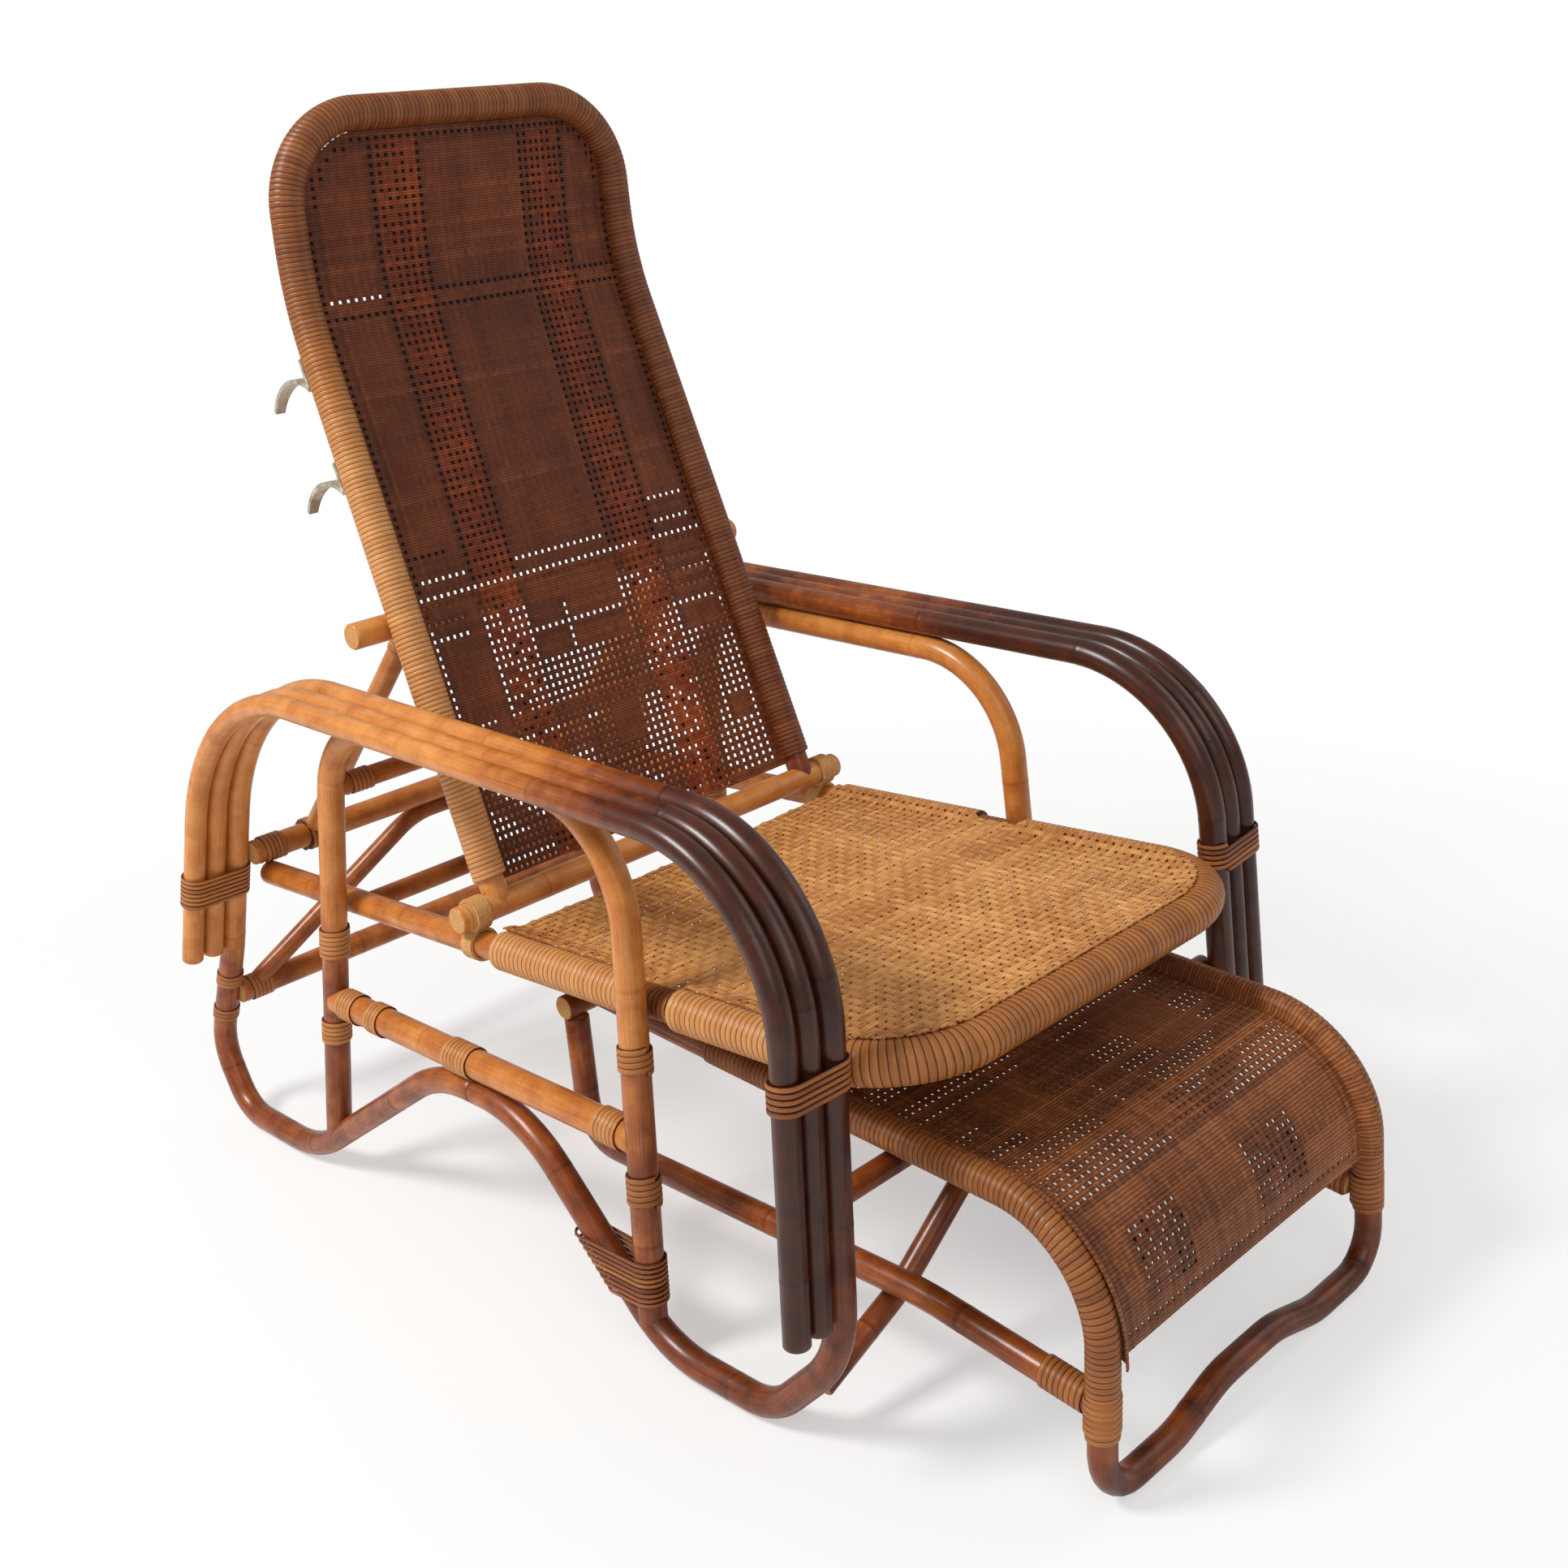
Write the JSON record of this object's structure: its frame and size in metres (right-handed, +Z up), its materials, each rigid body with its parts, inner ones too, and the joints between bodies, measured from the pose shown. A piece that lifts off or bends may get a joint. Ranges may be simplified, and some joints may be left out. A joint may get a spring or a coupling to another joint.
{
  "type": "rattan reclining lounge chair",
  "caption": "Reclining rattan lounge chair with wide bent-cane arms, waved legs, woven seat and tall back, a prop bar behind it, and a woven footrest that slides out from under the seat.",
  "frame": {"origin": "on the floor, under the middle of the bounding box of the chair with its footrest as pictured", "axes": "+Z up, -Y the way the sitter faces, X across the chair; the sitter's left is +X"},
  "size_m": [0.6676, 1.186, 1.0907],
  "materials": {
    "honey_cane": "varnished, satin",
    "dark_cane": "varnished, satin",
    "cane_binding": "satin",
    "pale_binding": "matte",
    "seat_weave": "woven, satin",
    "back_weave": "woven, satin",
    "footrest_weave": "woven, satin",
    "hook_metal": "satin"
  },
  "bodies": {
    "frame": {"arm_cane_outer_right": "honey_cane", "arm_cane_outer_left": "honey_cane", "arm_cane_middle_right": "honey_cane", "arm_cane_middle_left": "honey_cane", "leg_loop_right": "dark_cane", "leg_loop_left": "dark_cane", "hoop_right": "honey_cane", "hoop_left": "honey_cane", "side_stretcher_right": "honey_cane", "side_stretcher_left": "honey_cane", "stretcher_wraps_right": "cane_binding", "stretcher_wraps_left": "cane_binding", "rear_leg_lashing_right": "cane_binding", "rear_leg_lashing_left": "cane_binding", "front_leg_lashing_right": "cane_binding", "front_leg_lashing_left": "cane_binding", "post_foot_lashing_right": "cane_binding", "post_foot_lashing_left": "cane_binding", "seat_frame": "honey_cane", "seat_binding": "cane_binding", "seat_rear_bar": "honey_cane", "seat_weave": "seat_weave", "rear_upper_bar": "honey_cane", "rear_lower_bar": "honey_cane", "rear_arch": "dark_cane", "hoop_bar": "honey_cane", "rail_bar": "honey_cane", "front_bar": "dark_cane", "front_arch": "dark_cane", "pivot_loop_right": "pale_binding", "pivot_loop_left": "pale_binding"},
    "back": {"pivot_bar": "honey_cane", "back_frame": "dark_cane", "back_binding": "cane_binding", "back_weave": "back_weave", "upper_hook_right": "hook_metal", "upper_hook_left": "hook_metal", "lower_hook_right": "hook_metal", "lower_hook_left": "hook_metal"},
    "prop": {"prop_bar": "honey_cane", "prop_strut_right": "honey_cane", "prop_strut_left": "honey_cane", "prop_loops": "cane_binding"},
    "footrest": {"footrest_frame": "dark_cane", "footrest_binding_right": "cane_binding", "footrest_binding_left": "cane_binding", "footrest_weave": "footrest_weave", "footrest_weave_bar": "dark_cane", "footrest_rear_bar": "dark_cane", "footrest_stretcher_right": "dark_cane", "footrest_stretcher_left": "dark_cane"}
  },
  "joints": [
    {"name": "back_recline", "type": "hinge", "parent": "frame", "child": "back", "pos_m": [0, 0.1028, 0.34204], "axis": [-1, 0, 0], "range_deg": [0, 11.3]},
    {"name": "prop_swing", "type": "hinge", "parent": "frame", "child": "prop", "pos_m": [0, 0.4908, 0.32481], "axis": [-1, 0, 0], "range_deg": [0, 20.2]},
    {"name": "footrest_slide", "type": "slide", "parent": "frame", "child": "footrest", "axis": [0, -1, 0], "range_m": [-0.135, 0.362]}
  ],
  "couplings": [
    {"joint": "prop_swing", "follows": "back_recline", "ratio": 1.78}
  ]
}
